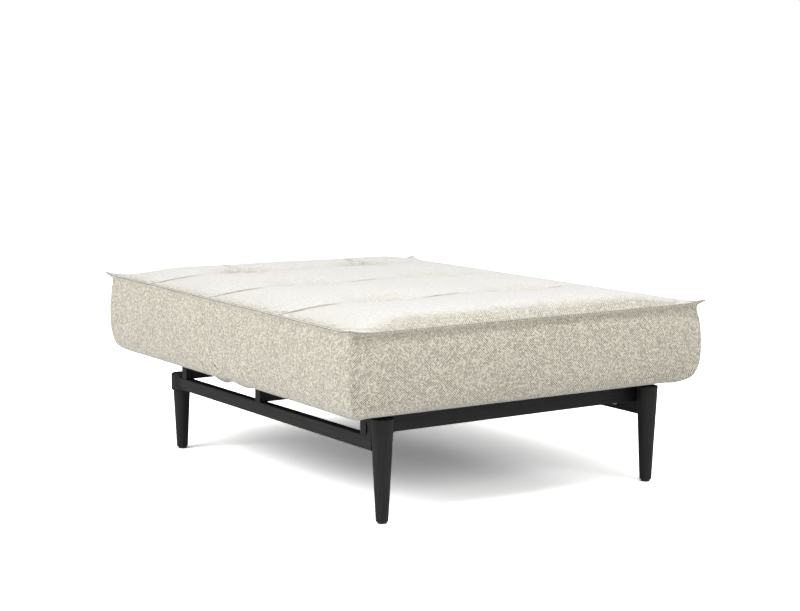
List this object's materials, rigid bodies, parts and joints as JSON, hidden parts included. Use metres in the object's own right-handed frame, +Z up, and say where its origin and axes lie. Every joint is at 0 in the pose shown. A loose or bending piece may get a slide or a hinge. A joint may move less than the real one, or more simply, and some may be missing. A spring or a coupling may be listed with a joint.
{
  "type": "chair bed",
  "caption": "Single chair bed with round tapered legs on a dark timber base, its upholstered back folding up from flat on ratchet hinges.",
  "frame": {"origin": "on the floor, under the middle of the mattress", "axes": "+X across the bed to the sitter's left-hand side as seen from the front, +Y from the seat's front edge to the back panel's far end, +Z up"},
  "size_m": [0.916, 1.166, 0.4279],
  "materials": {
    "black_wood": "black stained, satin lacquer",
    "glide_plastic": "matte",
    "zinc_steel": "zinc plated",
    "frame_paint": "black powder coat",
    "hinge_steel": "zinc plated",
    "webbing": "woven elastic",
    "dust_cloth": "non-woven",
    "cover_fabric": "woven, flecked cream"
  },
  "bodies": {
    "base": {"cross_rail_front": "black_wood", "cross_rail_middle": "black_wood", "cross_rail_rear": "black_wood", "foot_glide_front_left": "glide_plastic", "foot_glide_front_right": "glide_plastic", "foot_glide_rear_left": "glide_plastic", "foot_glide_rear_right": "glide_plastic", "front_frame_bolts": "zinc_steel", "front_leg_bolts": "zinc_steel", "hinge_rivet_left": "zinc_steel", "hinge_rivet_right": "zinc_steel", "leg_front_left": "black_wood", "leg_front_right": "black_wood", "leg_rear_left": "black_wood", "leg_rear_right": "black_wood", "middle_frame_bolts": "zinc_steel", "rear_leg_studs": "zinc_steel", "rear_rail_screws": "zinc_steel", "seat_dust_cloth": "dust_cloth", "seat_frame_front": "frame_paint", "seat_frame_left": "frame_paint", "seat_frame_rear": "frame_paint", "seat_frame_right": "frame_paint", "seat_hinge_arm_left": "hinge_steel", "seat_hinge_arm_right": "hinge_steel", "seat_hinge_bolts": "zinc_steel", "seat_pad": "cover_fabric", "seat_webbing": "webbing", "side_rail_left": "black_wood", "side_rail_right": "black_wood"},
    "back": {"back_dust_cloth": "dust_cloth", "back_frame_front": "frame_paint", "back_frame_left": "frame_paint", "back_frame_rear": "frame_paint", "back_frame_right": "frame_paint", "back_hinge_arm_left": "hinge_steel", "back_hinge_arm_right": "hinge_steel", "back_hinge_bolts": "zinc_steel", "back_pad": "cover_fabric", "back_webbing": "webbing", "pawl_pin_left": "zinc_steel", "pawl_pin_right": "zinc_steel", "pawl_spring_left": "zinc_steel", "pawl_spring_right": "zinc_steel"},
    "pawl_left": {"pawl_left": "hinge_steel"},
    "pawl_right": {"pawl_right": "hinge_steel"}
  },
  "joints": [
    {"name": "back_fold", "type": "hinge", "parent": "base", "child": "back", "pos_m": [0, 0.07, 0.372], "axis": [1, 0, 0], "range_deg": [0, 65]},
    {"name": "pawl_left_swing", "type": "hinge", "parent": "back", "child": "pawl_left", "pos_m": [-0.3457, 0.10604, 0.34676], "axis": [-1, 0, 0], "range_deg": [0, 14]},
    {"name": "pawl_right_swing", "type": "hinge", "parent": "back", "child": "pawl_right", "pos_m": [0.3457, 0.10604, 0.34676], "axis": [-1, 0, 0], "range_deg": [0, 14]}
  ]
}
